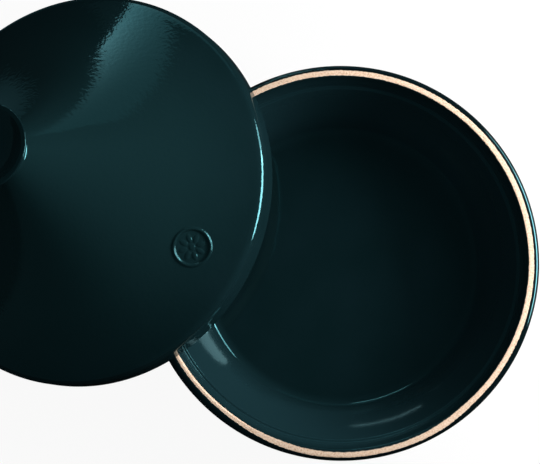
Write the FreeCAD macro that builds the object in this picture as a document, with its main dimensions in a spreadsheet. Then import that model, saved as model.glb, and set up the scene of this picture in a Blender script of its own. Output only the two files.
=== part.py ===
"""Glazed stoneware tagine, 28 cm: a shallow round pot, and its conical lid leant against the rim.

Millimetres, +Z up. The origin is the centre of the pot's foot, on the surface that the pot stands on.
Both pieces are turned forms, each thrown or pressed as one piece of clay. The lid's knob is part
of the lid.
"""
import FreeCAD, Part
import math
import os

import Sketcher

# Every size that can be set by itself, in millimetres, with angles in degrees.
SIZES = {
    # Pot, outside
    "rim_radius": 140.0,
    "pot_height": 68.0,
    "rim_band": 13.0,
    "rim_rounding": 4.0,
    "foot_radius": 108.0,
    "foot_rounding": 5.0,
    "pot_wall_curve": 170.0,
    # Pot, inside
    "rim_wall": 8.2,
    "rim_inner_rounding": 0.8,
    "ledge_depth": 18.0,
    "collar_taper": 3.6,
    "ledge_width": 1.9,
    "ledge_rounding": 1.2,
    "floor_thickness": 8.0,
    "floor_radius": 101.4,
    "floor_rounding": 6.0,
    "inner_wall_curve": 155.0,
    # Lid, outside
    "lid_overhang": 3.0,
    "skirt_height": 19.0,
    "skirt_edge_rounding": 2.5,
    "shoulder_rounding": 9.0,
    "flank_curve": 360.0,
    "neck_radius": 17.0,
    "neck_rounding": 3.4,
    # Knob
    "knob_radius": 28.1,
    "knob_height": 148.0,
    "knob_band": 2.0,
    "knob_flare_height": 17.0,
    "knob_flare_curve": 70.0,
    "knob_side_rounding": 2.0,
    "knob_edge_rounding": 1.0,
    "knob_lip": 3.0,
    "dish_depth": 8.0,
    "dish_edge_rounding": 1.0,
    # Lid, inside
    "lid_wall": 7.0,
    "seat_step": 1.7,
    "hollow_top_radius": 14.0,
    "hollow_rounding": 8.0,
    "hollow_edge_rounding": 4.0,
    # Round boss pressed on the flank: a raised ring round a plain rosette
    "boss_radius": 13.7,
    "boss_ring_width": 2.0,
    "boss_height": 0.9,
    "boss_field_depth": 0.45,
    "boss_root": 2.0,
    "boss_distance": 110.8,
    "boss_azimuth": -27.4,
    "petal_radius": 1.5,
    "petal_ring_radius": 6.2,
    "petal_height": 0.45,
    "petal_count": 8,
    "heart_radius": 2.4,
    # How the lid leans on the pot
    "lean_azimuth": 164.0,
    "touch_angle": 44.4,
    "rest_gap": 0.2,
}

# Sizes that follow from those above
LID_RADIUS = "(dims.rim_radius + dims.lid_overhang)"
RIM_INNER = "(dims.rim_radius - dims.rim_wall)"
SEAT_INNER = f"({RIM_INNER} + dims.seat_step)"
LEDGE_HEIGHT = "(dims.pot_height - dims.ledge_depth)"
COLLAR_FOOT = f"({RIM_INNER} - dims.collar_taper)"
LEDGE_INNER = f"({COLLAR_FOOT} - dims.ledge_width)"
DISH_RADIUS = "(dims.knob_radius - dims.knob_lip)"
KNOB_SIDE_HEIGHT = "(dims.knob_height - dims.knob_band)"
NECK_HEIGHT = f"({KNOB_SIDE_HEIGHT} - dims.knob_flare_height)"
DISH_CURVE = f"(({DISH_RADIUS} ^ 2 + dims.dish_depth ^ 2) / (2 * dims.dish_depth))"
BOSS_INNER = "(dims.boss_radius - dims.boss_ring_width)"

# The flank is an arc from the shoulder to the neck, hollowed outwards. Its centre lies outside it.
FLANK_RUN = f"({LID_RADIUS} - dims.neck_radius)"
FLANK_RISE = f"({NECK_HEIGHT} - dims.skirt_height)"
FLANK_CHORD = f"sqrt({FLANK_RUN} ^ 2 + {FLANK_RISE} ^ 2)"
FLANK_SWING = f"sqrt(dims.flank_curve ^ 2 - ({FLANK_CHORD} / 2) ^ 2)"
FLANK_CENTRE_X = (
    f"(dims.neck_radius + {FLANK_RUN} / 2 + {FLANK_SWING} * {FLANK_RISE} / {FLANK_CHORD})"
)
FLANK_CENTRE_Z = (
    f"(dims.skirt_height + {FLANK_RISE} / 2 + {FLANK_SWING} * {FLANK_RUN} / {FLANK_CHORD})"
)
HOLLOW_CURVE = "(dims.flank_curve + dims.lid_wall)"

# The leaning lid touches the floor with its lower edge, and the pot's rim at two spots of its
# seat's inner edge, touch_angle to either side of the lean. Its angle and place follow from that.
TOUCH_REACH = f"({SEAT_INNER} * cos(dims.touch_angle))"
TOUCH_HALF_WIDTH = f"({SEAT_INNER} * sin(dims.touch_angle))"
EDGE_CENTRE = f"({LID_RADIUS} - dims.skirt_edge_rounding)"
LEVER = f"({EDGE_CENTRE} + {TOUCH_REACH})"
LIFT = "(dims.pot_height + dims.rest_gap - dims.skirt_edge_rounding)"
LEAN = (
    f"(asin({LIFT} / sqrt({LEVER} ^ 2 + dims.skirt_edge_rounding ^ 2))"
    f" + atan(dims.skirt_edge_rounding / {LEVER}))"
)
LID_LIFT = f"({EDGE_CENTRE} * sin({LEAN}) + dims.skirt_edge_rounding * (1 - cos({LEAN})))"
RIM_TOUCH = f"(dims.rim_radius - dims.rim_rounding * (1 - sin(dims.touch_angle) * sin({LEAN})))"
LID_DISTANCE = f"({TOUCH_REACH} * cos({LEAN}) + sqrt({RIM_TOUCH} ^ 2 - {TOUCH_HALF_WIDTH} ^ 2))"

# A sketch counts the places on a curve: its start, its end and its centre. It counts its own
# axes downwards, and its origin is the start of the flat one.
START, END, CENTRE = range(1, 4)
FLAT_AXIS, UPRIGHT_AXIS = range(-1, -3, -1)
ORIGIN = (FLAT_AXIS, START)

# Two places nearer than this are the same place
SAME_PLACE = 1e-4


def make_sheet(doc):
    """Put every size in one spreadsheet, each under its own name."""
    sheet = doc.addObject("Spreadsheet::Sheet", "dims")
    for row, (name, size) in enumerate(SIZES.items(), start=1):
        sheet.set(f"A{row}", name)
        sheet.set(f"B{row}", str(size))
        sheet.setAlias(f"B{row}", name)
    doc.recompute()
    return sheet


def value(sheet, expression):
    """Work out one expression with the sheet's sizes."""
    return float(sheet.evalExpression(expression))


def origin_plane(body, role):
    """Find one of the body's own origin planes."""
    return next(plane for plane in body.Origin.OriginFeatures if plane.Role == role)


def attach(sketch, body, role):
    """Lay the sketch flat on one of the body's origin planes."""
    sketch.AttachmentSupport = [(origin_plane(body, role), "")]
    sketch.MapMode = "FlatFace"


def arc_through(start, end, radius, side):
    """Shallow arc between two points, bulging left (side 1) or right (side -1) of the way there.

    A sketch holds its arcs anticlockwise, so one that bulges left is drawn from its far end.
    """
    along = end - start
    half = along.Length / 2
    rise = radius - math.sqrt(radius ** 2 - half ** 2)
    across = FreeCAD.Vector(-along.y, along.x, 0).normalize()
    middle = start + along / 2 + across * rise * side
    if side > 0:
        return Part.Arc(end, middle, start)
    return Part.Arc(start, middle, end)


def bind(sketch, sheet, kind, places, name, expression):
    """Add one dimension to the sketch and tie it to the sheet."""
    index = sketch.addConstraint(Sketcher.Constraint(kind, *places, value(sheet, expression)))
    sketch.renameConstraint(index, name)
    sketch.setExpression(f"Constraints.{name}", expression)


def draw_half_section(body, sheet, corners, curves):
    """Draw a closed half section of a turned piece and return its sketch.

    corners lists (name, radius, height) in order round the section, as expressions. A radius of
    None lies on the axis, a height of None on the base plane. curves gives, for the corner that
    an arc starts from, its (radius expression, side); the other stretches are straight.
    """
    sketch = body.newObject("Sketcher::SketchObject", f"{body.Name}_section")
    attach(sketch, body, "XZ_Plane")
    points = []
    for _, radius, height in corners:
        x = value(sheet, radius) if radius else 0.0
        y = value(sheet, height) if height else 0.0
        points.append(FreeCAD.Vector(x, y, 0))
    starts = []
    ends = []
    for index, (name, _, _) in enumerate(corners):
        start = points[index]
        end = points[(index + 1) % len(points)]
        if name in curves:
            radius, side = curves[name]
            curve = arc_through(start, end, value(sheet, radius), side)
        else:
            curve = Part.LineSegment(start, end)
        sketch.addGeometry(curve, False)
        drawn_forward = sketch.Geometry[index].StartPoint.distanceToPoint(start) < SAME_PLACE
        starts.append((index, START if drawn_forward else END))
        ends.append((index, END if drawn_forward else START))
    for index, place in enumerate(ends):
        following = starts[(index + 1) % len(starts)]
        sketch.addConstraint(Sketcher.Constraint("Coincident", *place, *following))
    for place, (name, radius, height) in zip(starts, corners):
        if radius:
            bind(sketch, sheet, "DistanceX", (*ORIGIN, *place), f"{name}_radius", radius)
        else:
            sketch.addConstraint(Sketcher.Constraint("PointOnObject", *place, UPRIGHT_AXIS))
        if height:
            bind(sketch, sheet, "DistanceY", (*ORIGIN, *place), f"{name}_height", height)
        else:
            sketch.addConstraint(Sketcher.Constraint("PointOnObject", *place, FLAT_AXIS))
    for index, (name, _, _) in enumerate(corners):
        if name in curves:
            bind(sketch, sheet, "Radius", (index,), f"{name}_curve", curves[name][0])
    return sketch


def turn(body, sketch, feature="Revolution"):
    """Turn a half section all the way round the upright axis, to add clay or to cut it away."""
    turned = body.newObject(f"PartDesign::{feature}", f"{sketch.Name}_turned")
    turned.Profile = sketch
    turned.ReferenceAxis = (sketch, ["V_Axis"])
    turned.Angle = 360
    sketch.Document.recompute()
    return turned


def ring_edge(shape, radius, height):
    """Name the round edge of a turned shape that has this radius at this height."""
    for index, edge in enumerate(shape.Edges, start=1):
        if edge.Degenerated or not isinstance(edge.Curve, Part.Circle):
            continue
        same_radius = abs(edge.Curve.Radius - radius) < SAME_PLACE
        if same_radius and abs(edge.Curve.Center.z - height) < SAME_PLACE:
            return f"Edge{index}"
    raise ValueError(f"no round edge of radius {radius} at height {height}")


def round_corner(body, sheet, base, sketch, corner, rounding):
    """Round one corner of the half section, all the way round the piece."""
    place = sketch.getDatum(f"{corner}_radius").Value
    names = [constraint.Name for constraint in sketch.Constraints]
    height = sketch.getDatum(f"{corner}_height").Value if f"{corner}_height" in names else 0.0
    fillet = body.newObject("PartDesign::Fillet", f"{corner}_rounded")
    fillet.Base = (base, [ring_edge(base.Shape, place, height)])
    fillet.Radius = value(sheet, rounding)
    fillet.setExpression("Radius", rounding)
    body.Document.recompute()
    return fillet


def make_pot(doc, sheet):
    """Shallow round pot: flat foot, flared wall, upright rim with a flat bare top, ledge inside."""
    body = doc.addObject("PartDesign::Body", "pot")
    corners = [
        ("foot_centre", None, None),
        ("foot", "dims.foot_radius", None),
        ("band_foot", "dims.rim_radius", "(dims.pot_height - dims.rim_band)"),
        ("rim", "dims.rim_radius", "dims.pot_height"),
        ("rim_inner", RIM_INNER, "dims.pot_height"),
        ("collar_foot", COLLAR_FOOT, LEDGE_HEIGHT),
        ("ledge", LEDGE_INNER, LEDGE_HEIGHT),
        ("floor", "dims.floor_radius", "dims.floor_thickness"),
        ("floor_centre", None, "dims.floor_thickness"),
    ]
    curves = {
        "foot": ("dims.pot_wall_curve", -1),
        "ledge": ("dims.inner_wall_curve", 1),
    }
    sketch = draw_half_section(body, sheet, corners, curves)
    shape = turn(body, sketch)
    roundings = [
        ("foot", "dims.foot_rounding"),
        ("rim", "dims.rim_rounding"),
        ("rim_inner", "dims.rim_inner_rounding"),
        ("collar_foot", "dims.ledge_rounding"),
        ("ledge", "dims.ledge_rounding"),
        ("floor", "dims.floor_rounding"),
    ]
    for corner, rounding in roundings:
        shape = round_corner(body, sheet, shape, sketch, corner, rounding)
    return body


def flank_height(radius, curve):
    """Height over the base of the flank's arc, or of the hollow's arc inside it, at a radius."""
    return f"({FLANK_CENTRE_Z} - sqrt({curve} ^ 2 - ({FLANK_CENTRE_X} - {radius}) ^ 2))"


def make_lid(doc, sheet):
    """Conical lid: flat seat, upright skirt, hollowed flank, solid neck and dished knob."""
    body = doc.addObject("PartDesign::Body", "lid")
    hollow_top = flank_height("dims.hollow_top_radius", HOLLOW_CURVE)
    corners = [
        ("seat", SEAT_INNER, None),
        ("skirt_edge", LID_RADIUS, None),
        ("shoulder", LID_RADIUS, "dims.skirt_height"),
        ("neck", "dims.neck_radius", NECK_HEIGHT),
        ("knob_side", "dims.knob_radius", KNOB_SIDE_HEIGHT),
        ("knob_rim", "dims.knob_radius", "dims.knob_height"),
        ("dish_rim", DISH_RADIUS, "dims.knob_height"),
        ("dish_centre", None, "(dims.knob_height - dims.dish_depth)"),
        ("hollow_centre", None, hollow_top),
        ("hollow_top", "dims.hollow_top_radius", hollow_top),
        ("hollow_edge", SEAT_INNER, flank_height(SEAT_INNER, HOLLOW_CURVE)),
    ]
    curves = {
        "shoulder": ("dims.flank_curve", 1),
        "neck": ("dims.knob_flare_curve", 1),
        "dish_rim": (DISH_CURVE, 1),
        "hollow_top": (HOLLOW_CURVE, -1),
    }
    sketch = draw_half_section(body, sheet, corners, curves)
    shape = turn(body, sketch)
    roundings = [
        ("skirt_edge", "dims.skirt_edge_rounding"),
        ("shoulder", "dims.shoulder_rounding"),
        ("neck", "dims.neck_rounding"),
        ("knob_side", "dims.knob_side_rounding"),
        ("knob_rim", "dims.knob_edge_rounding"),
        ("dish_rim", "dims.dish_edge_rounding"),
        ("hollow_top", "dims.hollow_rounding"),
        ("hollow_edge", "dims.hollow_edge_rounding"),
    ]
    for corner, rounding in roundings:
        shape = round_corner(body, sheet, shape, sketch, corner, rounding)
    add_boss(body, sheet)
    turn_axis = "create(<<vector>>; -sin(dims.lean_azimuth); cos(dims.lean_azimuth); 0)"
    away = f"{LID_DISTANCE} * cos(dims.lean_azimuth); {LID_DISTANCE} * sin(dims.lean_azimuth)"
    body.setExpression(
        "Placement",
        f"create(<<placement>>; create(<<vector>>; {away}; {LID_LIFT});"
        f" create(<<rotation>>; {turn_axis}; {LEAN}))",
    )
    return body


def boss_sketch(body, name, level):
    """Sketch laid along the flank at the boss, at a level above or below the flank's surface."""
    sketch = body.newObject("Sketcher::SketchObject", name)
    attach(sketch, body, "XY_Plane")
    slope = f"asin(({FLANK_CENTRE_X} - dims.boss_distance) / dims.flank_curve)"
    out = f"(dims.boss_distance + {level} * sin({slope}))"
    height = f"({flank_height('dims.boss_distance', 'dims.flank_curve')} + {level} * cos({slope}))"
    place = f"{out} * cos(dims.boss_azimuth); {out} * sin(dims.boss_azimuth); {height}"
    sketch.setExpression(
        "AttachmentOffset",
        f"create(<<placement>>; create(<<vector>>; {place});"
        f" create(<<rotation>>; dims.boss_azimuth; {slope}; 0))",
    )
    return sketch


def draw_circle(sketch, sheet, name, radius, distance=None):
    """Draw a circle round the sketch's origin, or at a distance along its first axis."""
    x = value(sheet, distance) if distance else 0.0
    circle = Part.Circle(FreeCAD.Vector(x, 0, 0), FreeCAD.Vector(0, 0, 1), value(sheet, radius))
    index = sketch.addGeometry(circle, False)
    bind(sketch, sheet, "Radius", (index,), f"{name}_radius", radius)
    if distance:
        bind(sketch, sheet, "DistanceX", (*ORIGIN, index, CENTRE), f"{name}_distance", distance)
        sketch.addConstraint(Sketcher.Constraint("PointOnObject", index, CENTRE, FLAT_AXIS))
    else:
        sketch.addConstraint(Sketcher.Constraint("Coincident", index, CENTRE, *ORIGIN))


def raise_or_sink(body, kind, sketch, name, length):
    """Pad the sketch outwards by a length, or pocket all that lies within it as far outwards."""
    feature = body.newObject(f"PartDesign::{kind}", name)
    feature.Profile = sketch
    feature.setExpression("Length", length)
    feature.Reversed = kind == "Pocket"
    body.Document.recompute()
    return feature


def add_boss(body, sheet):
    """Round boss on the flank: a sunk field, a raised ring round it, and a rosette of petals."""
    field_level = "(-dims.boss_field_depth)"
    field = boss_sketch(body, "boss_field", field_level)
    draw_circle(field, sheet, "field", BOSS_INNER)
    clear = "(dims.boss_field_depth + dims.boss_height)"
    raise_or_sink(body, "Pocket", field, "boss_field_sunk", clear)

    ring = boss_sketch(body, "boss_ring", "(-dims.boss_root)")
    draw_circle(ring, sheet, "ring", "dims.boss_radius")
    draw_circle(ring, sheet, "ring_inner", BOSS_INNER)
    raise_or_sink(body, "Pad", ring, "boss_ring_raised", "(dims.boss_root + dims.boss_height)")

    petal_length = "(dims.boss_root - dims.boss_field_depth + dims.petal_height)"
    heart = boss_sketch(body, "boss_heart", "(-dims.boss_root)")
    draw_circle(heart, sheet, "heart", "dims.heart_radius")
    raise_or_sink(body, "Pad", heart, "boss_heart_raised", petal_length)

    petal = boss_sketch(body, "boss_petal", "(-dims.boss_root)")
    draw_circle(petal, sheet, "petal", "dims.petal_radius", "dims.petal_ring_radius")
    petal_raised = raise_or_sink(body, "Pad", petal, "boss_petal_raised", petal_length)

    petals = body.newObject("PartDesign::PolarPattern", "boss_petals")
    petals.Originals = [petal_raised]
    petals.Axis = (petal, ["N_Axis"])
    petals.Angle = 360
    petals.setExpression("Occurrences", "dims.petal_count")
    body.Tip = petals
    body.Document.recompute()


def main():
    """Make the document, check it and write each piece to its own file."""
    doc = FreeCAD.newDocument("tagine")
    sheet = make_sheet(doc)
    pieces = [make_pot(doc, sheet), make_lid(doc, sheet)]
    doc.recompute()
    for item in doc.Objects:
        if "Invalid" in item.State or "Error" in item.State:
            raise RuntimeError(f"{item.Name} failed: {item.State}")
    os.makedirs("parts", exist_ok=True)
    for piece in pieces:
        if piece.Shape.isNull() or not piece.Shape.isValid():
            raise RuntimeError(f"{piece.Label} has no sound shape")
        piece.Shape.exportStep(f"parts/{piece.Label}.step")
        print(piece.Label, piece.Shape.optimalBoundingBox(), f"{piece.Shape.Volume / 1e3:.1f} cm3")


main()
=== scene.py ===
# %% [markdown]
# # A glazed stoneware tagine with its lid taken off
#
# A tagine is a shallow round pot with a tall conical lid. Both are turned forms: clay shaped
# against a profile on a wheel, glazed all over and wiped bare where they would stick. So this
# scene needs three things: two clean profiles, a wheel to turn them on, and a convincing dark
# gloss glaze.
#
# The lid stands on its lower edge and leans on the pot's rim. It is modelled upright, in its own
# frame, and leant over at the end.

# %% Load the frame
import math

import bpy
from mathutils import Matrix, Vector


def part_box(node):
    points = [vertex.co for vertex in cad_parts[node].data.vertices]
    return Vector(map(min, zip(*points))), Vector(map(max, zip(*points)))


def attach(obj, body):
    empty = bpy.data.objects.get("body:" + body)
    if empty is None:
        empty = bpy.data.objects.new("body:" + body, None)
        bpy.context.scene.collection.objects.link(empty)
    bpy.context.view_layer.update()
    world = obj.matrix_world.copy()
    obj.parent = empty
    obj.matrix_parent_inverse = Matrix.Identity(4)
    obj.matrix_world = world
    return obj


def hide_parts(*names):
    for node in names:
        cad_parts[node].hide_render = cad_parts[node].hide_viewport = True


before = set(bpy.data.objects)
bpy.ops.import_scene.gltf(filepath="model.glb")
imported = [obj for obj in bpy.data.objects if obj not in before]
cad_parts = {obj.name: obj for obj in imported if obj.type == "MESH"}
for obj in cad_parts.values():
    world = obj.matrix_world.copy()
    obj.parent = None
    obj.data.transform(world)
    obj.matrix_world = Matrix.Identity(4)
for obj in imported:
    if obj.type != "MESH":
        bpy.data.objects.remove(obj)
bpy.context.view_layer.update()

MM = 0.001
pot_low, pot_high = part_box("pot")
rim_radius = (pot_high.x - pot_low.x) / 2
pot_height = pot_high.z

# %% [markdown]
# ## The profiles
#
# A potter's profile is a few corners, some of them joined by shallow arcs, with every corner
# rounded off. It could be drawn as a Bezier curve by eye, but then no size would be exact. Here it
# is written as corners with a rounding radius each, and a short function finds the round that
# touches both neighbours, as a drawing office would.

# %% Stretches of a profile
FINE = 0.4 * MM
COARSE = 3.2 * MM
ROUND_STEP = 8
NEWTON_STEPS = 12


class Straight:
    """A straight stretch of the profile."""

    def __init__(self, start, end):
        self.start = start
        self.end = end
        self.along = (end - start).normalized()

    def left(self, point):
        return Vector((-self.along.y, self.along.x))

    def distance(self, point):
        return self.left(point).dot(point - self.start)

    def nearest(self, point):
        return self.start + self.along * self.along.dot(point - self.start)

    def between(self, start, end, share):
        return start.lerp(end, share)


class Bow:
    """A shallow arc, bulging left (side 1) or right (side -1) of the way along the profile."""

    def __init__(self, start, end, radius, side):
        self.start = start
        self.end = end
        self.radius = radius
        self.side = side
        along = end - start
        swing = math.sqrt(radius ** 2 - (along.length / 2) ** 2)
        left = Vector((-along.y, along.x)).normalized()
        self.centre = (start + end) / 2 - left * side * swing

    def left(self, point):
        return (point - self.centre).normalized() * self.side

    def distance(self, point):
        return self.side * ((point - self.centre).length - self.radius)

    def nearest(self, point):
        return self.centre + (point - self.centre).normalized() * self.radius

    def between(self, start, end, share):
        return arc_point(self.centre, start, end, share)


def arc_point(centre, start, end, share):
    """A point part of the way along the short arc from start to end."""
    first = start - centre
    turn = first.angle_signed(end - centre)
    return centre + Matrix.Rotation(-turn * share, 2) @ first


def rounded_corner(before, after, radius):
    """Centre and two ends of the round that touches both stretches at their corner.

    The centre lies one radius off each stretch. Newton's method finds it from the corner.
    """
    corner = before.end
    inner_side = math.copysign(1, before.left(corner).cross(after.left(corner)))
    centre = corner.copy()
    for _ in range(NEWTON_STEPS):
        slopes = Matrix((before.left(centre), after.left(centre)))
        misses = Vector((
            inner_side * radius - before.distance(centre),
            inner_side * radius - after.distance(centre),
        ))
        centre += slopes.inverted() @ misses
    return centre, before.nearest(centre), after.nearest(centre)


# %% Turn corners into a profile
def spaced(stretch, start, end, is_fine):
    """Points from start to end of a stretch: FINE apart where is_fine(point), else COARSE."""
    count = max(1, math.ceil((end - start).length / FINE))
    every = round(COARSE / FINE)
    points = []
    for step in range(count + 1):
        point = stretch.between(start, end, step / count)
        if step in (0, count) or step % every == 0 or is_fine(point):
            points.append(point)
    return points


def round_points(centre, start, end):
    """Points along a round, between its two ends, at most ROUND_STEP degrees apart."""
    bend = abs((start - centre).angle_signed(end - centre))
    length = bend * (start - centre).length
    count = max(
        math.ceil(math.degrees(bend) / ROUND_STEP), math.ceil(length / (COARSE / 2)),
    )
    return [arc_point(centre, start, end, step / count) for step in range(1, count)]


def profile(corners, is_fine=lambda point: False):
    """Points along a profile from the axis back to it, and each corner's place among them.

    corners: (name, radius, height, rounding, bow), where bow is None or (radius, side) of the arc
    that leaves the corner. A corner's place is the index where its round starts and where it ends.
    """
    corner_points = [Vector((radius, height)) for _, radius, height, _, _ in corners]
    stretches = []
    for start, end, corner in zip(corner_points, corner_points[1:], corners):
        bow = corner[4]
        stretches.append(Bow(start, end, *bow) if bow else Straight(start, end))
    rounds = {}
    for index in range(1, len(corners) - 1):
        rounding = corners[index][3]
        rounds[index] = rounded_corner(stretches[index - 1], stretches[index], rounding)
    points = []
    places = {}
    for index, stretch in enumerate(stretches):
        start = rounds[index][2] if index in rounds else stretch.start
        end = rounds[index + 1][1] if index + 1 in rounds else stretch.end
        points += spaced(stretch, start, end, is_fine)
        if index + 1 in rounds:
            round_start = len(points) - 1
            points += round_points(*rounds[index + 1])
            places[corners[index + 1][0]] = (round_start, len(points))
    return points, places


def runs_along(points):
    """How far along the profile each point lies."""
    runs = [0.0]
    for start, end in zip(points, points[1:]):
        runs.append(runs[-1] + (end - start).length)
    return runs


# %% [markdown]
# ## The wheel
#
# On the wheel a profile becomes a pot by turning. A Screw modifier would do it, but its steps are
# all alike. This wheel is a Geometry Nodes tree: a flat grid, one column for each spoke, whose
# points are sent to the profile's points and round the axis. Its steps can crowd together on one
# side, so the lid is fine where the boss is pressed and coarser elsewhere. It also keeps each
# point's run along the profile, which tells the glaze where it was wiped off.

# %% A helper that adds a node
def add_node(tree, kind, given=None, **settings):
    """Add a node, set its settings, and set its inputs or link them from a node or a socket."""
    node = tree.nodes.new(kind)
    for name, setting in settings.items():
        setattr(node, name, setting)
    for key, source in (given or {}).items():
        if isinstance(source, bpy.types.Node):
            source = source.outputs[0]
        if isinstance(source, bpy.types.NodeSocket):
            tree.links.new(source, node.inputs[key])
        else:
            node.inputs[key].default_value = source
    return node


# %% The wheel's inputs
wheel = bpy.data.node_groups.new("wheel", "GeometryNodeTree")
for name, kind in (
    ("Profile", "NodeSocketObject"),
    ("Spokes", "NodeSocketInt"),
    ("Crowded side", "NodeSocketFloat"),
    ("Crowding", "NodeSocketFloat"),
    ("Weld distance", "NodeSocketFloat"),
    ("Finish", "NodeSocketMaterial"),
):
    wheel.interface.new_socket(name, in_out="INPUT", socket_type=kind)
wheel.interface.new_socket("Geometry", in_out="OUTPUT", socket_type="NodeSocketGeometry")
asked = add_node(wheel, "NodeGroupInput").outputs
source = add_node(wheel, "GeometryNodeObjectInfo", {"Object": asked["Profile"]})
source = source.outputs["Geometry"]
size = add_node(wheel, "GeometryNodeAttributeDomainSize", {"Geometry": source})
rows = size.outputs["Point Count"]

# %% A grid with a column for each spoke
columns = add_node(wheel, "ShaderNodeMath", {0: asked["Spokes"], 1: 1}, operation="ADD")
grid = add_node(wheel, "GeometryNodeMeshGrid", {"Vertices X": columns, "Vertices Y": rows})
index = add_node(wheel, "GeometryNodeInputIndex")
middle = add_node(wheel, "ShaderNodeMath", {0: index, 1: 0.5}, operation="ADD")
share = add_node(wheel, "ShaderNodeMath", {0: middle, 1: rows}, operation="DIVIDE")
column = add_node(wheel, "ShaderNodeMath", {0: share}, operation="FLOOR")
before = add_node(wheel, "ShaderNodeMath", {0: column, 1: rows}, operation="MULTIPLY")
row = add_node(wheel, "ShaderNodeMath", {0: index, 1: before}, operation="SUBTRACT")

# %% Each row takes its place and its run from the profile
place = add_node(wheel, "GeometryNodeInputPosition")
there = add_node(
    wheel, "GeometryNodeSampleIndex",
    {"Geometry": source, "Value": place, "Index": row}, data_type="FLOAT_VECTOR",
)
there = add_node(wheel, "ShaderNodeSeparateXYZ", {0: there}).outputs
run = add_node(wheel, "GeometryNodeInputNamedAttribute", {"Name": "run"}, data_type="FLOAT")
run = add_node(
    wheel, "GeometryNodeSampleIndex",
    {"Geometry": source, "Value": run, "Index": row}, data_type="FLOAT",
)
run_kept = add_node(
    wheel, "GeometryNodeStoreNamedAttribute",
    {"Geometry": grid, "Name": "run", "Value": run}, data_type="FLOAT", domain="POINT",
)

# %% Each column turns to its own angle
turn = add_node(wheel, "ShaderNodeMath", {0: column, 1: asked["Spokes"]}, operation="DIVIDE")
turn = add_node(wheel, "ShaderNodeMath", {0: turn, 1: math.tau}, operation="MULTIPLY")
sine = add_node(wheel, "ShaderNodeMath", {0: turn}, operation="SINE")
pull = add_node(wheel, "ShaderNodeMath", {0: sine, 1: asked["Crowding"]}, operation="MULTIPLY")
angle = add_node(wheel, "ShaderNodeMath", {0: turn, 1: pull}, operation="SUBTRACT")
angle = add_node(wheel, "ShaderNodeMath", {0: angle, 1: asked["Crowded side"]}, operation="ADD")
cosine = add_node(wheel, "ShaderNodeMath", {0: angle}, operation="COSINE")
sine = add_node(wheel, "ShaderNodeMath", {0: angle}, operation="SINE")
x = add_node(wheel, "ShaderNodeMath", {0: there["X"], 1: cosine}, operation="MULTIPLY")
y = add_node(wheel, "ShaderNodeMath", {0: there["X"], 1: sine}, operation="MULTIPLY")
turned = add_node(wheel, "ShaderNodeCombineXYZ", {0: x, 1: y, 2: there["Z"]})

# %% Weld the seam and the poles, and finish
shape = add_node(wheel, "GeometryNodeSetPosition", {"Geometry": run_kept, "Position": turned})
shape = add_node(
    wheel, "GeometryNodeMergeByDistance", {"Geometry": shape, "Distance": asked["Weld distance"]},
)
shape = add_node(wheel, "GeometryNodeSetShadeSmooth", {"Geometry": shape})
shape = add_node(wheel, "GeometryNodeRealizeInstances", {"Geometry": shape})
shape = add_node(
    wheel, "GeometryNodeSetMaterial", {"Geometry": shape, "Material": asked["Finish"]},
)
add_node(wheel, "NodeGroupOutput", {"Geometry": shape})
print("the wheel has", len(wheel.nodes), "nodes")


# %% Turn a piece on the wheel
def turn_on_wheel(name, points, finish, spokes, crowded_side=0.0, crowding=0.0):
    """Turn a profile into a plain mesh object, closed at the seam and at both poles."""
    outline = bpy.data.meshes.new(name + "_profile")
    outline.from_pydata([(point.x, 0, point.y) for point in points], [], [])
    runs = outline.attributes.new("run", "FLOAT", "POINT")
    runs.data.foreach_set("value", runs_along(points))
    carrier = bpy.data.objects.new(name + "_profile", outline)
    bpy.context.collection.objects.link(carrier)
    piece = bpy.data.objects.new(name, bpy.data.meshes.new(name))
    bpy.context.collection.objects.link(piece)
    modifier = piece.modifiers.new("wheel", "NODES")
    modifier.node_group = wheel
    settings = {
        "Profile": carrier,
        "Spokes": spokes,
        "Crowded side": crowded_side,
        "Crowding": crowding,
        "Weld distance": 0.01 * MM,
        "Finish": finish,
    }
    for item in wheel.interface.items_tree:
        if item.in_out == "INPUT":
            modifier[item.identifier] = settings[item.name]
    shaped = piece.evaluated_get(bpy.context.evaluated_depsgraph_get())
    mesh = bpy.data.meshes.new_from_object(shaped)
    mesh.name = name
    piece.modifiers.clear()
    piece.data = mesh
    bpy.data.objects.remove(carrier)
    bpy.data.meshes.remove(outline)
    return piece


def report(piece):
    """Print a piece's triangles, its open edges and the volume that its faces enclose."""
    mesh = piece.data
    mesh.calc_loop_triangles()
    volume = 0.0
    for triangle in mesh.loop_triangles:
        a, b, c = (mesh.vertices[index].co for index in triangle.vertices)
        volume += a.dot(b.cross(c)) / 6
    uses = {}
    for polygon in mesh.polygons:
        for key in polygon.edge_keys:
            uses[key] = uses.get(key, 0) + 1
    open_edges = sum(1 for count in uses.values() if count != 2)
    print(
        piece.name, len(mesh.loop_triangles), "triangles,", open_edges, "open edges,",
        round(volume * 1e6, 1), "cm3",
    )


# %% [markdown]
# ## The glaze
#
# The real finish is a thick, dark blue-green gloss glaze over buff stoneware. Three things make it:
# a nearly black body colour, a mirror-smooth surface whose reflections pick up the glaze's own
# blue-green, and a faint orange peel, left where the glaze flowed in the kiln, that frays the edge
# of every reflection. Layered glass over clay would be closer to the physics, but it is slow and
# noisy. One Principled shader with a tinted specular gives the same look.
#
# Glaze would stick to the kiln shelf and to the lid, so the rim, the seat and the foot are
# wiped bare. Those bands are found from the run along the profile, with a slightly ragged edge. A
# sponge held by hand wanders, so the pot's ring lies nearer to the edge on one side and further in
# on another.

# %% Colours of glaze and clay
def linear(colour):
    """Turn an sRGB hex colour into the linear colour that a shader needs."""
    parts = [int(colour[index:index + 2], 16) / 255 for index in (1, 3, 5)]
    return [c / 12.92 if c <= 0.04045 else ((c + 0.055) / 1.055) ** 2.4 for c in parts] + [1.0]


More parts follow.
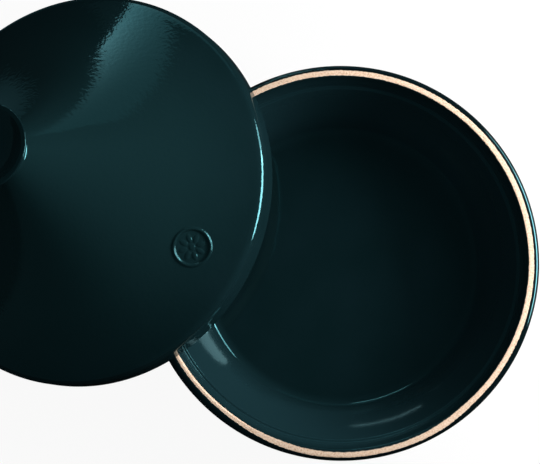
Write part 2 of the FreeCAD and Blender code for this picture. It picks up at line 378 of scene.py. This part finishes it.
GLAZE_DEEP = linear("#0c1f22")
GLAZE_THIN = linear("#0f2226")
# Painted light: the pot's collar and inner wall are painted lighter, fading out towards the floor
POT_INSIDE_PAINTED_LIGHT = linear("#162d32")
# Painted light: the lid's flank is painted lighter, growing from the shoulder towards the neck
FLANK_PAINTED_LIGHT = linear("#12292c")
# Painted shade: near black on the pot's outer band and rim round, up under the bare ring
RIM_PAINTED_SHADE = linear("#04090b")
GLAZE_GLEAM = linear("#86f3ff")
CLAY = linear("#f9dfc8")
CLAY_SHADE = linear("#ecc8aa")
CLAY_SPECK = linear("#c39a78")
# Where in the grain each tone of the clay stands
CLAY_TONES = ((0.30, CLAY_SPECK), (0.44, CLAY_SHADE), (0.62, CLAY))
# Size of the glaze's clouds, and how much of a span's own colour shows
CLOUD_SIZE = 40 * MM
SPAN_SHARE = 0.85
# Roughness of the glaze where it is glossiest and where it is smeared, and of bare clay
GLOSSY, SMEARED, CLAY_ROUGH = 0.05, 0.10, 0.85
SMEAR_SIZE = 25 * MM
GLAZE_IOR = 1.5
# Orange peel in the glaze, grain in the clay
PEEL_SIZE = 2.8 * MM
GRAIN_SIZE, GRAIN_DEPTH = 1.1 * MM, 0.12 * MM
# A wiped edge: how ragged, how soft, and between which shares of the rim's radius it wanders
RAGGED_SIZE, RAGGED_REACH = 1.8 * MM, 1.1 * MM
WIPED_EDGE = 0.12 * MM
DRIFT_FROM, DRIFT_FULL = 0.80, 0.95


# %% Spans of the profile
def add_span(tree, run, rise, fall, top=1.0):
    """Add nodes that rise from 0 to top over one stretch of the run and fall back over another."""
    risen = add_node(
        tree, "ShaderNodeMapRange",
        {"Value": run, "From Min": rise[0], "From Max": rise[1], "To Max": top},
    )
    not_fallen = add_node(
        tree, "ShaderNodeMapRange", {"Value": run, "From Min": fall[1], "From Max": fall[0]},
    )
    return add_node(tree, "ShaderNodeMath", {0: risen, 1: not_fallen}, operation="MULTIPLY")


# %% Where the glaze is wiped off
def add_bare_mask(tree, place, bare_spans, drifts):
    """Add nodes that give 1 on the wiped spans of the profile, 0 elsewhere, and return the last.

    drifts: (azimuth, drift), each side on which the sponge wandered, in degrees, and how far back
    along the profile the bare ring lies there.
    """
    run = add_node(tree, "ShaderNodeAttribute", attribute_name="run").outputs["Fac"]
    ragged = add_node(
        tree, "ShaderNodeTexNoise", {"Vector": place, "Scale": 1 / RAGGED_SIZE, "Detail": 3.0},
    )
    ragged = add_node(tree, "ShaderNodeMath", {0: ragged, 1: 0.5}, operation="SUBTRACT")
    run = add_node(
        tree, "ShaderNodeMath", {0: ragged, 1: RAGGED_REACH, 2: run}, operation="MULTIPLY_ADD",
    )
    for azimuth, drift in drifts:
        turned = math.radians(azimuth)
        side = (math.cos(turned) / rim_radius, math.sin(turned) / rim_radius, 0)
        toward = add_node(
            tree, "ShaderNodeVectorMath", {0: place, 1: side}, operation="DOT_PRODUCT",
        ).outputs["Value"]
        wander = add_node(
            tree, "ShaderNodeMapRange",
            {"Value": toward, "From Min": DRIFT_FROM, "From Max": DRIFT_FULL, "To Max": drift},
            interpolation_type="SMOOTHSTEP",
        )
        run = add_node(tree, "ShaderNodeMath", {0: run, 1: wander}, operation="ADD")
    mask = 0.0
    for start, end in bare_spans:
        rise = (start - WIPED_EDGE, start + WIPED_EDGE)
        fall = (end - WIPED_EDGE, end + WIPED_EDGE)
        span = add_span(tree, run, rise, fall)
        mask = add_node(tree, "ShaderNodeMath", {0: span, 1: mask}, operation="MAXIMUM")
    return mask


# %% Glazed stoneware
def new_material(name):
    """A material whose node tree is still empty."""
    material = bpy.data.materials.new(name)
    material.use_nodes = True
    material.node_tree.nodes.clear()
    return material


def make_stoneware(name, bare_spans, painted_spans, peel_depth, drifts=()):
    """Dark blue-green gloss glaze, dipped, with bare buff clay on some spans of the profile.

    The glaze spans are painted light and painted shade, stretches in a lighter or darker colour:
    start and end of the run, over how long a stretch it fades in and out, and the colour there.
    """
    material = new_material(name)
    tree = material.node_tree
    place = add_node(tree, "ShaderNodeTexCoord").outputs["Object"]
    bare = add_bare_mask(tree, place, bare_spans, drifts)

    # The glaze pools and thins over a few centimetres. A Mix node's colours are its inputs 6 and 7
    # and its output 2.
    clouds = add_node(
        tree, "ShaderNodeTexNoise", {"Vector": place, "Scale": 1 / CLOUD_SIZE, "Detail": 3.0},
    )
    thin = add_node(
        tree, "ShaderNodeMapRange", {"Value": clouds, "From Min": 0.35, "From Max": 0.7},
    )
    glaze = add_node(
        tree, "ShaderNodeMix", {0: thin, 6: GLAZE_DEEP, 7: GLAZE_THIN}, data_type="RGBA",
    )
    run = add_node(tree, "ShaderNodeAttribute", attribute_name="run").outputs["Fac"]
    # Over the clouds, the spans paint their own colours: painted light on the pot's inner wall and
    # on the lid's flank, painted shade on the pot's outer rim
    for start, end, fade_in, fade_out, span_colour in painted_spans:
        span = add_span(tree, run, (start, start + fade_in), (end - fade_out, end), SPAN_SHARE)
        glaze = add_node(
            tree, "ShaderNodeMix", {0: span, 6: glaze.outputs[2], 7: span_colour},
            data_type="RGBA",
        )

    # Buff clay with specks of darker grog. A new ramp has two stops, so the middle one is added.
    grain = add_node(
        tree, "ShaderNodeTexNoise",
        {"Vector": place, "Scale": 1 / GRAIN_SIZE, "Detail": 4.0, "Roughness": 0.7},
    )
    clay = add_node(tree, "ShaderNodeValToRGB", {"Fac": grain})
    stops = clay.color_ramp.elements
    stops.new(CLAY_TONES[1][0])
    for stop, (position, tone) in zip(stops, CLAY_TONES):
        stop.position = position
        stop.color = tone
    colour = add_node(
        tree, "ShaderNodeMix", {0: bare, 6: glaze.outputs[2], 7: clay}, data_type="RGBA",
    )

    # Gloss, a little duller in places, and dull bare clay
    smears = add_node(tree, "ShaderNodeTexNoise", {"Vector": place, "Scale": 1 / SMEAR_SIZE})
    gloss = add_node(
        tree, "ShaderNodeMapRange", {"Value": smears, "To Min": GLOSSY, "To Max": SMEARED},
    )
    rough = add_node(
        tree, "ShaderNodeMapRange", {"Value": bare, "To Min": gloss, "To Max": CLAY_ROUGH},
    )

    # Orange peel in the glaze, grain in the clay
    peel = add_node(
        tree, "ShaderNodeTexNoise", {"Vector": place, "Scale": 1 / PEEL_SIZE, "Detail": 1.0},
    )
    peel_bump = add_node(
        tree, "ShaderNodeBump", {"Height": peel, "Strength": 1.0, "Distance": peel_depth},
    )
    bump = add_node(
        tree, "ShaderNodeBump",
        {"Height": grain, "Strength": bare, "Distance": GRAIN_DEPTH, "Normal": peel_bump},
    )
    shader = add_node(
        tree, "ShaderNodeBsdfPrincipled",
        {
            "Base Color": colour.outputs[2],
            "Roughness": rough,
            "IOR": GLAZE_IOR,
            "Specular Tint": GLAZE_GLEAM,
            "Normal": bump,
        },
    )
    add_node(tree, "ShaderNodeOutputMaterial", {"Surface": shader})
    return material


# %% [markdown]
# ## The pot
#
# A shallow round pot: flat foot, wall flaring to a short upright band, a rim 8 mm wide whose flat
# inner half is bare, a slightly tapered collar inside it down to a narrow ledge, and a wall that
# sweeps down to a wide flat floor. The rim's radius and height come from the frame. The floor's
# fillet and the rim's inner edge are a little rounder than in the solid, as wide as their
# highlights in the photo ask for.

# %% Pot profile
FOOT_RADIUS, FOOT_ROUNDING = 108 * MM, 5 * MM
POT_WALL_CURVE = 170 * MM
RIM_BAND, BAND_ROUNDING = 13 * MM, 8 * MM
RIM_ROUNDING, RIM_INNER_ROUNDING = 4 * MM, 1.4 * MM
RIM_WALL = 8.2 * MM
COLLAR_TAPER = 3.6 * MM
LEDGE_DEPTH, LEDGE_REACH, LEDGE_ROUNDING = 18 * MM, 5.5 * MM, 1.2 * MM
INNER_WALL_CURVE = 155 * MM
FLOOR_RADIUS, FLOOR_THICKNESS, FLOOR_ROUNDING = 101.4 * MM, 8 * MM, 10 * MM

rim_inner = rim_radius - RIM_WALL
ledge_height = pot_height - LEDGE_DEPTH
pot_corners = [
    ("foot_centre", 0, 0, 0, None),
    ("foot", FOOT_RADIUS, 0, FOOT_ROUNDING, (POT_WALL_CURVE, -1)),
    ("band_foot", rim_radius, pot_height - RIM_BAND, BAND_ROUNDING, None),
    ("rim", rim_radius, pot_height, RIM_ROUNDING, None),
    ("rim_inner", rim_inner, pot_height, RIM_INNER_ROUNDING, None),
    ("collar_foot", rim_inner - COLLAR_TAPER, ledge_height, LEDGE_ROUNDING, None),
    ("ledge", rim_inner - LEDGE_REACH, ledge_height, LEDGE_ROUNDING, (INNER_WALL_CURVE, 1)),
    ("floor", FLOOR_RADIUS, FLOOR_THICKNESS, FLOOR_ROUNDING, None),
    ("floor_centre", 0, FLOOR_THICKNESS, 0, None),
]
pot_points, pot_places = profile(pot_corners)

# %% Bare and thicker glazed spans of the pot
BEFORE_ALL = -1
FOOT_GLAZED = 1.5 * MM
RING_OVER_EDGE = 0.6 * MM
# How the painted shade on the outer rim fades in, reaches under the bare ring and ends
RIM_SHADE_FADE, RIM_SHADE_UNDER_RING, RIM_SHADE_END = 6 * MM, 1 * MM, 0.1 * MM
# How the painted light inside the pot fades in below the rim and out at the floor
COLLAR_FADE, FLOOR_FADE = 11 * MM, 24 * MM
POT_DRIFTS = ((-80, 1.45 * MM), (-145, -1.9 * MM))
POT_PEEL = 0.02 * MM

pot_runs = runs_along(pot_points)
rim_start, rim_end = (pot_runs[place] for place in pot_places["rim"])
inner_edge = pot_runs[pot_places["rim_inner"][0]]
pot_bare = [
    (BEFORE_ALL, pot_runs[pot_places["foot"][0]] - FOOT_GLAZED),
    (rim_end, inner_edge + RING_OVER_EDGE),
]
pot_painted_light_and_shade = [
    # Painted shade on the outer band and the rim round
    (rim_start - RIM_SHADE_FADE, rim_end + RIM_SHADE_UNDER_RING, RIM_SHADE_FADE, RIM_SHADE_END, RIM_PAINTED_SHADE),
    # Painted light on the collar and the inner wall
    (inner_edge, pot_runs[pot_places["floor"][1]], COLLAR_FADE, FLOOR_FADE, POT_INSIDE_PAINTED_LIGHT),
]
print("pot profile", len(pot_points), "points, rim bare", [round(r / MM, 1) for r in pot_bare[1]])

# %% Turn the pot
pot_ware = make_stoneware(
    "glazed_stoneware_pot", pot_bare, pot_painted_light_and_shade, peel_depth=POT_PEEL, drifts=POT_DRIFTS,
)
pot = turn_on_wheel("tagine_pot", pot_points, pot_ware, spokes=256)
report(pot)

# %% [markdown]
# ## The lid
#
# A tall cone, hollowed a little along its flank, from an upright skirt to a slender neck and a
# knob with a dished top. The knob is part of the same clay. It is turned upright here.

# %% Lid and knob sizes
LID_OVERHANG = 3 * MM
SEAT_STEP, SEAT_ROUNDING = 1.7 * MM, 0.5 * MM
SKIRT_HEIGHT, SKIRT_EDGE_ROUNDING = 19 * MM, 2.5 * MM
SHOULDER_ROUNDING = 9 * MM
FLANK_CURVE = 360 * MM
NECK_RADIUS, NECK_ROUNDING = 17 * MM, 3.4 * MM
KNOB_RADIUS, KNOB_HEIGHT, KNOB_BAND = 28.1 * MM, 148 * MM, 2 * MM
KNOB_FLARE_HEIGHT, KNOB_FLARE_CURVE = 17 * MM, 70 * MM
KNOB_SIDE_ROUNDING, KNOB_EDGE_ROUNDING = 2 * MM, 1 * MM
KNOB_LIP, DISH_DEPTH, DISH_EDGE_ROUNDING = 3 * MM, 8 * MM, 1 * MM
LID_WALL = 7 * MM
HOLLOW_TOP_RADIUS, HOLLOW_ROUNDING, HOLLOW_EDGE_ROUNDING = 14 * MM, 8 * MM, 4 * MM
BOSS_DISTANCE, BOSS_AZIMUTH = 110.8 * MM, math.radians(-27.4)
BOSS_ZONE, OFF_ARC = 16 * MM, 0.1 * MM

# %% Lid profile
lid_radius = rim_radius + LID_OVERHANG
seat_inner = rim_inner + SEAT_STEP
knob_side = KNOB_HEIGHT - KNOB_BAND
neck_height = knob_side - KNOB_FLARE_HEIGHT
flank = Bow(
    Vector((lid_radius, SKIRT_HEIGHT)), Vector((NECK_RADIUS, neck_height)), FLANK_CURVE, 1,
)


def flank_height(radius, depth=0.0):
    """Height at a radius of the flank's arc, or of the same arc some depth inside the clay."""
    reach = FLANK_CURVE + depth
    return flank.centre.y - math.sqrt(reach ** 2 - (flank.centre.x - radius) ** 2)


dish_radius = KNOB_RADIUS - KNOB_LIP
dish_curve = (dish_radius ** 2 + DISH_DEPTH ** 2) / (2 * DISH_DEPTH)
hollow_top = flank_height(HOLLOW_TOP_RADIUS, LID_WALL)
hollow_edge = flank_height(seat_inner, LID_WALL)
lid_corners = [
    ("hollow_centre", 0, hollow_top, 0, None),
    (
        "hollow_top", HOLLOW_TOP_RADIUS, hollow_top, HOLLOW_ROUNDING,
        (FLANK_CURVE + LID_WALL, -1),
    ),
    ("hollow_edge", seat_inner, hollow_edge, HOLLOW_EDGE_ROUNDING, None),
    ("seat", seat_inner, 0, SEAT_ROUNDING, None),
    ("skirt_edge", lid_radius, 0, SKIRT_EDGE_ROUNDING, None),
    ("shoulder", lid_radius, SKIRT_HEIGHT, SHOULDER_ROUNDING, (FLANK_CURVE, 1)),
    ("neck", NECK_RADIUS, neck_height, NECK_ROUNDING, (KNOB_FLARE_CURVE, 1)),
    ("knob_side", KNOB_RADIUS, knob_side, KNOB_SIDE_ROUNDING, None),
    ("knob_rim", KNOB_RADIUS, KNOB_HEIGHT, KNOB_EDGE_ROUNDING, None),
    ("dish_rim", dish_radius, KNOB_HEIGHT, DISH_EDGE_ROUNDING, (dish_curve, 1)),
    ("dish_centre", 0, KNOB_HEIGHT - DISH_DEPTH, 0, None),
]


def near_boss(point):
    """Whether a point of the profile lies on the flank's outside, where the boss is pressed."""
    on_flank = abs((point - flank.centre).length - FLANK_CURVE) < OFF_ARC
    return on_flank and abs(point.x - BOSS_DISTANCE) < BOSS_ZONE


lid_points, lid_places = profile(lid_corners, near_boss)
print("lid profile", len(lid_points), "points")

# %% Turn the lid
FLANK_FADE, NECK_FADE = 60 * MM, 2 * MM
LID_PEEL = 0.08 * MM
lid_runs = runs_along(lid_points)
lid_bare = [(lid_runs[lid_places["seat"][1]], lid_runs[lid_places["skirt_edge"][0]])]
flank_start, flank_end = lid_runs[lid_places["shoulder"][0]], lid_runs[lid_places["neck"][1]]
# Painted light on the flank, fading in above the shoulder and ending at the neck
lid_painted_light = [(flank_start, flank_end, FLANK_FADE, NECK_FADE, FLANK_PAINTED_LIGHT)]
lid_ware = make_stoneware("glazed_stoneware_lid", lid_bare, lid_painted_light, peel_depth=LID_PEEL)
lid = turn_on_wheel(
    "tagine_lid", lid_points, lid_ware, spokes=330, crowded_side=BOSS_AZIMUTH, crowding=0.85,
)
report(lid)

# %% [markdown]
# ## The boss
#
# A round stamp pressed on the flank: a raised ring round a sunk field, with a plain rosette of
# eight petals. A real stamp drags the clay a little, so no edge is square. Here each point of the
# flank is moved along the stamp's own direction by a smooth height, which a bump map would only
# pretend.

# %% Press the boss
RING_INNER, RING_OUTER = 11.7 * MM, 13.7 * MM
RING_RISE, RING_SPREAD = 0.9 * MM, 1.15
FIELD_DEPTH, FIELD_MARGIN, FIELD_SLOPE = 0.45 * MM, 0.3 * MM, 0.8 * MM
PETAL_RISE = 0.5 * MM
PETAL_MIDDLE, PETAL_LONG, PETAL_WIDE = 6.4 * MM, 3.1 * MM, 1.75 * MM
HEART_RADIUS = 2.3 * MM
PETALS = 8
STAMP_RADIUS, STAMP_REACH = RING_OUTER + 1 * MM, 2 * MM


def ease(share):
    """Smooth step from 0 to 1."""
    share = min(1, max(0, share))
    return share * share * (3 - 2 * share)


def dome(distance, reach):
    """Rounded bump, 1 at its middle and 0 at its edge, with steep sides."""
    return math.sqrt(max(0, 1 - (distance / reach) ** 2)) if distance < reach else 0.0


def stamp_height(x, y):
    """How far the stamp moves the clay at a place on it, up or down."""
    distance = math.hypot(x, y)
    ring_middle = (RING_INNER + RING_OUTER) / 2
    ring_half = (RING_OUTER - RING_INNER) / 2
    height = RING_RISE * dome(abs(distance - ring_middle), ring_half * RING_SPREAD)
    height -= FIELD_DEPTH * ease((RING_INNER + FIELD_MARGIN - distance) / FIELD_SLOPE)
    sector = math.tau / PETALS
    angle = math.atan2(y, x)
    off = angle - sector * round(angle / sector)
    along = distance * math.cos(off) - PETAL_MIDDLE
    across = distance * math.sin(off)
    petal = dome(math.hypot(along / PETAL_LONG, across / PETAL_WIDE), 1)
    heart = dome(distance, HEART_RADIUS)
    return height + PETAL_RISE * max(petal, heart)


slope = math.asin((flank.centre.x - BOSS_DISTANCE) / FLANK_CURVE)
round_axis = Matrix.Rotation(BOSS_AZIMUTH, 3, "Z")
stamp_out = round_axis @ Vector((math.sin(slope), 0, math.cos(slope)))
stamp_down = round_axis @ Vector((math.cos(slope), 0, -math.sin(slope)))
stamp_across = stamp_out.cross(stamp_down)
boss_centre = round_axis @ Vector((BOSS_DISTANCE, 0, flank_height(BOSS_DISTANCE)))
pressed = 0
for vertex in lid.data.vertices:
    offset = vertex.co - boss_centre
    if offset.length < STAMP_RADIUS and abs(offset.dot(stamp_out)) < STAMP_REACH:
        height = stamp_height(offset.dot(stamp_down), offset.dot(stamp_across))
        vertex.co += stamp_out * height
        pressed += 1
print("boss pressed into", pressed, "points")

# %% [markdown]
# ## Lean the lid
#
# Taken off, the lid stands with its lower edge on the table and its seat across the pot's rim. The
# lean follows from that: it turns about the spot of the rounded edge that touches the table, until
# the seat's inner edge lies on the rim in two places.

# %% Lean the lid
LEAN_AZIMUTH = math.radians(164)
TOUCH_ANGLE = math.radians(44.4)
REST_GAP = 0.2 * MM
edge_centre = lid_radius - SKIRT_EDGE_ROUNDING
lever = edge_centre + seat_inner * math.cos(TOUCH_ANGLE)
lift = pot_height + REST_GAP - SKIRT_EDGE_ROUNDING
lean = math.asin(lift / math.hypot(lever, SKIRT_EDGE_ROUNDING))
lean += math.atan(SKIRT_EDGE_ROUNDING / lever)
lid_lift = edge_centre * math.sin(lean) + SKIRT_EDGE_ROUNDING * (1 - math.cos(lean))
rim_touch = rim_radius - RIM_ROUNDING * (1 - math.sin(TOUCH_ANGLE) * math.sin(lean))
half_width = seat_inner * math.sin(TOUCH_ANGLE)
lid_distance = seat_inner * math.cos(TOUCH_ANGLE) * math.cos(lean) + math.sqrt(
    rim_touch ** 2 - half_width ** 2
)
lean_axis = Vector((-math.sin(LEAN_AZIMUTH), math.cos(LEAN_AZIMUTH), 0))
lid_place = Matrix.Translation((
    lid_distance * math.cos(LEAN_AZIMUTH), lid_distance * math.sin(LEAN_AZIMUTH), lid_lift,
)) @ Matrix.Rotation(lean, 4, lean_axis)
lid.data.transform(lid_place)
print("lean", round(math.degrees(lean), 2), "degrees")
lid_low, lid_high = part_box("lid")
low = [min(vertex.co[axis] for vertex in lid.data.vertices) for axis in range(3)]
high = [max(vertex.co[axis] for vertex in lid.data.vertices) for axis in range(3)]
print("lid to CAD, low", [round((a - b) / MM, 2) for a, b in zip(low, lid_low)],
      "high", [round((a - b) / MM, 2) for a, b in zip(high, lid_high)])

# %% Place both pieces
for piece, node in ((pot, "pot"), (lid, "lid")):
    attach(piece, "root")
    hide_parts(node)

# %% [markdown]
# ## Floor, light and camera
#
# A plain studio: a floor, a dim room, a large oval soft box low on the right with a dimmer one
# beside it, a thin strip of light and a lit wall behind. A dark gloss glaze shows little but
# reflections, so each stands where its mirror image on the shoulder, the knob and the flank says
# that it stood. Seen by the camera, floor and room are white, with a little of the floor's own
# shading, so the shadow stays. The glaze mirrors a dark table and a dim room instead, because the
# real one does: the side of the lid that faces away from the lights is almost black.
#
# One lamp could both be mirrored and brighten the clay. Here the two jobs are apart. A near lamp
# gives the pot its fade from left to right, but its mirror image in the rim would be far too big,
# so the glaze mirrors an oval soft box that stands further off.

# %% Floor
FLOOR_SHADING = 0.07
FLOOR_REACH = 20
FLOOR_COLOUR = linear("#f4f4f4")
TABLE_COLOUR = linear("#1c1e1f")


def add_card(name, corners, finish):
    """Add a flat card with the given corners, which stages the object and is no piece of it."""
    mesh = bpy.data.meshes.new(name)
    mesh.from_pydata(corners, [], [tuple(range(len(corners)))])
    mesh.materials.append(finish)
    card = bpy.data.objects.new(name, mesh)
    bpy.context.collection.objects.link(card)
    return card


floor_finish = new_material("pale_floor")
tree = floor_finish.node_tree
seen = add_node(tree, "ShaderNodeLightPath").outputs["Is Camera Ray"]
pale = add_node(tree, "ShaderNodeBsdfDiffuse", {"Color": FLOOR_COLOUR})
white = add_node(tree, "ShaderNodeEmission", {"Color": (1, 1, 1, 1), "Strength": 1.0})
studio = add_node(tree, "ShaderNodeMixShader", {0: FLOOR_SHADING, 1: white, 2: pale})
table = add_node(tree, "ShaderNodeBsdfDiffuse", {"Color": TABLE_COLOUR})
surface = add_node(tree, "ShaderNodeMixShader", {0: seen, 1: table, 2: studio})
add_node(tree, "ShaderNodeOutputMaterial", {"Surface": surface})
signs = ((-1, -1), (1, -1), (1, 1), (-1, 1))
add_card("floor", [(x * FLOOR_REACH, y * FLOOR_REACH, 0) for x, y in signs], floor_finish)

# %% Room
ROOM_LIGHT = 0.25
ROOM_IN_GLAZE = 0.045
DAYLIGHT = linear("#c8f8ff")
# The glaze mirrors a dimmer and bluer room than the one that lights the clay
world = bpy.data.worlds.new("room")
bpy.context.scene.world = world
world.use_nodes = True
tree = world.node_tree
tree.nodes.clear()
ray = add_node(tree, "ShaderNodeLightPath").outputs
dim = add_node(
    tree, "ShaderNodeMapRange",
    {"Value": ray["Is Glossy Ray"], "To Min": ROOM_LIGHT, "To Max": ROOM_IN_GLAZE},
)
strength = add_node(
    tree, "ShaderNodeMapRange", {"Value": ray["Is Camera Ray"], "To Min": dim, "To Max": 1.0},
)
tint = add_node(
    tree, "ShaderNodeMix", {0: ray["Is Glossy Ray"], 6: (1, 1, 1, 1), 7: DAYLIGHT},
    data_type="RGBA",
)
air = add_node(tree, "ShaderNodeBackground", {"Color": tint.outputs[2], "Strength": strength})
add_node(tree, "ShaderNodeOutputWorld", {"Surface": air})

# %% [markdown]
# Daylight washes the wall behind from its left end, so its mirror image is a bright swoosh that
# fades across the flank. A soft box would give it one even tone. A card whose glow falls off along
# it, with a soft foot and a soft top, gives the fade and the two edges that the orange peel frays.

# %% Lit wall
WALL_AWAY = 2.2
WALL_AIM = Vector((-0.15, 0.09, 0.10))
WALL_AZIMUTH, WALL_ELEVATION, WALL_ROLL = (math.radians(angle) for angle in (83, 11, 14))
HALF_ACROSS, HALF_UP = math.radians(23), math.radians(10)
WALL_WIDTH = 2 * WALL_AWAY * math.tan(HALF_ACROSS)
WALL_HEIGHT = 2 * WALL_AWAY * math.tan(HALF_UP)
WALL_EDGE, WALL_TOP_SHARE = 0.09, 0.8
WALL_FADE, WALL_GLOW, WALL_FAR_GLOW = 0.38, 2.7, 0.26
wall_finish = new_material("lit_wall")
tree = wall_finish.node_tree
place = add_node(tree, "ShaderNodeTexCoord").outputs["Object"]
place = add_node(tree, "ShaderNodeSeparateXYZ", {0: place}).outputs
along = add_node(tree, "ShaderNodeMath", {0: place["X"], 1: -WALL_FADE}, operation="DIVIDE")
along = add_node(tree, "ShaderNodeMath", {0: along}, operation="EXPONENT")
glow = add_node(
    tree, "ShaderNodeMath", {0: along, 1: WALL_GLOW, 2: WALL_FAR_GLOW}, operation="MULTIPLY_ADD",
)
# A soft foot, a soft top, and a little dimmer towards the top
for edge, inside, dimmest in (
    (0.0, WALL_EDGE, 0.0),
    (WALL_HEIGHT, WALL_HEIGHT - WALL_EDGE, 0.0),
    (WALL_HEIGHT, 0.0, WALL_TOP_SHARE),
):
    share = add_node(
        tree, "ShaderNodeMapRange",
        {"Value": place["Y"], "From Min": edge, "From Max": inside, "To Min": dimmest},
    )
    glow = add_node(tree, "ShaderNodeMath", {0: glow, 1: share}, operation="MULTIPLY")
glowing = add_node(tree, "ShaderNodeEmission", {"Color": DAYLIGHT, "Strength": glow})
add_node(tree, "ShaderNodeOutputMaterial", {"Surface": glowing})
wall = add_card(
    "lit_wall",
    [(0, 0, 0), (WALL_WIDTH, 0, 0), (WALL_WIDTH, WALL_HEIGHT, 0), (0, WALL_HEIGHT, 0)],
    wall_finish,
)
away = Matrix.Rotation(WALL_AZIMUTH, 3, "Z") @ Vector((
    math.cos(WALL_ELEVATION), 0, math.sin(WALL_ELEVATION),
))
facing = (-away).to_track_quat("Z", "Y").to_matrix().to_4x4()
wall.matrix_world = (
    Matrix.Translation(WALL_AIM + away * WALL_AWAY) @ facing @ Matrix.Rotation(WALL_ROLL, 4, "Z")
    @ Matrix.Translation((-WALL_WIDTH / 2, -WALL_HEIGHT / 2, 0))
)
wall.visible_camera = wall.visible_shadow = False

# %% [markdown]
# A dimly glowing card lies on the table close behind the lid, standing in for a dimly lit pale
# sheet. The camera doesn't show it, but its dim mirror image is the small patch with a frayed edge
# beside the knob.

# %% Pale sheet behind the lid
# The sheet glows by itself: its glow stands in for the dim light that falls on a pale sheet
SHEET_COLOUR, SHEET_GLOW = linear("#8fdfee"), 0.09
SHEET_ABOVE_FLOOR = 1 * MM
SHEET_CORNERS = (
    (-360, 150), (-240, 150), (-240, 360), (-281, 352), (-290, 318), (-299, 290), (-311, 250),
    (-328, 216),
)
sheet_finish = new_material("pale_sheet")
tree = sheet_finish.node_tree
glowing = add_node(tree, "ShaderNodeEmission", {"Color": SHEET_COLOUR, "Strength": SHEET_GLOW})
add_node(tree, "ShaderNodeOutputMaterial", {"Surface": glowing})
sheet = add_card(
    "pale_sheet", [(x * MM, y * MM, SHEET_ABOVE_FLOOR) for x, y in SHEET_CORNERS], sheet_finish,
)
sheet.visible_camera = sheet.visible_shadow = sheet.visible_diffuse = False


# %% Lamps
def add_lamp(
    name, shape, azimuth, tilt, width, height, brightness, distance, aim=(-0.05, 0.05, 0.10),
):
    """Add a flat lamp, placed and sized by the angles, in degrees, at which the aim sees it."""
    light = bpy.data.lights.new(name, "AREA")
    light.shape = shape
    light.size = 2 * distance * math.tan(math.radians(width / 2))
    light.size_y = 2 * distance * math.tan(math.radians(height / 2))
    area = light.size * light.size_y * (math.pi / 4 if shape == "ELLIPSE" else 1)
    light.energy = brightness * math.pi * area
    lamp = bpy.data.objects.new(name, light)
    bpy.context.collection.objects.link(lamp)
    away = Matrix.Rotation(math.radians(azimuth), 3, "Z") @ Vector((
        math.sin(math.radians(tilt)), 0, math.cos(math.radians(tilt)),
    ))
    lamp.location = Vector(aim) + away * distance
    lamp.rotation_euler = away.to_track_quat("Z", "Y").to_euler()
    print(name, "at", [round(c, 2) for c in lamp.location], round(light.energy, 1), "W")
    return lamp


oval = add_lamp(
    "oval_soft_box", "ELLIPSE", azimuth=5, tilt=76, width=43, height=18, brightness=25,
    distance=1.0,
)
second_oval = add_lamp(
    "dim_soft_box", "ELLIPSE", azimuth=29, tilt=75, width=22, height=14, brightness=11,
    distance=1.0,
)
strip = add_lamp(
    "light_strip", "RECTANGLE", azimuth=106, tilt=62.5, width=18, height=0.9, brightness=20,
    distance=1.0, aim=(0.04, -0.10, 0.03),
)
oval.visible_diffuse = second_oval.visible_diffuse = strip.visible_diffuse = False
near = add_lamp(
    "near_lamp", "RECTANGLE", azimuth=10, tilt=76, width=41, height=18, brightness=25,
    distance=0.56,
)
fill = add_lamp(
    "fill_lamp", "RECTANGLE", azimuth=35, tilt=55, width=30, height=20, brightness=4.6,
    distance=1.0,
)
near.visible_glossy = fill.visible_glossy = False

# %% Camera
CAMERA_PLACE = (-0.00533, -0.07135, 1.05005)
CAMERA_TILT_X, CAMERA_TILT_Y = 0.0928728, 0.0445533
LENS, SENSOR_WIDTH = 93.03, 36.0
camera_data = bpy.data.cameras.new("camera")
camera_data.lens = LENS
camera_data.sensor_width = SENSOR_WIDTH
camera_data.sensor_fit = "HORIZONTAL"
camera = bpy.data.objects.new("camera", camera_data)
camera.matrix_world = Matrix.Translation(CAMERA_PLACE) @ (
    Matrix.Rotation(CAMERA_TILT_X, 4, "X") @ Matrix.Rotation(CAMERA_TILT_Y, 4, "Y")
)
bpy.context.collection.objects.link(camera)
bpy.context.scene.camera = camera
bpy.context.scene.view_settings.view_transform = "Standard"
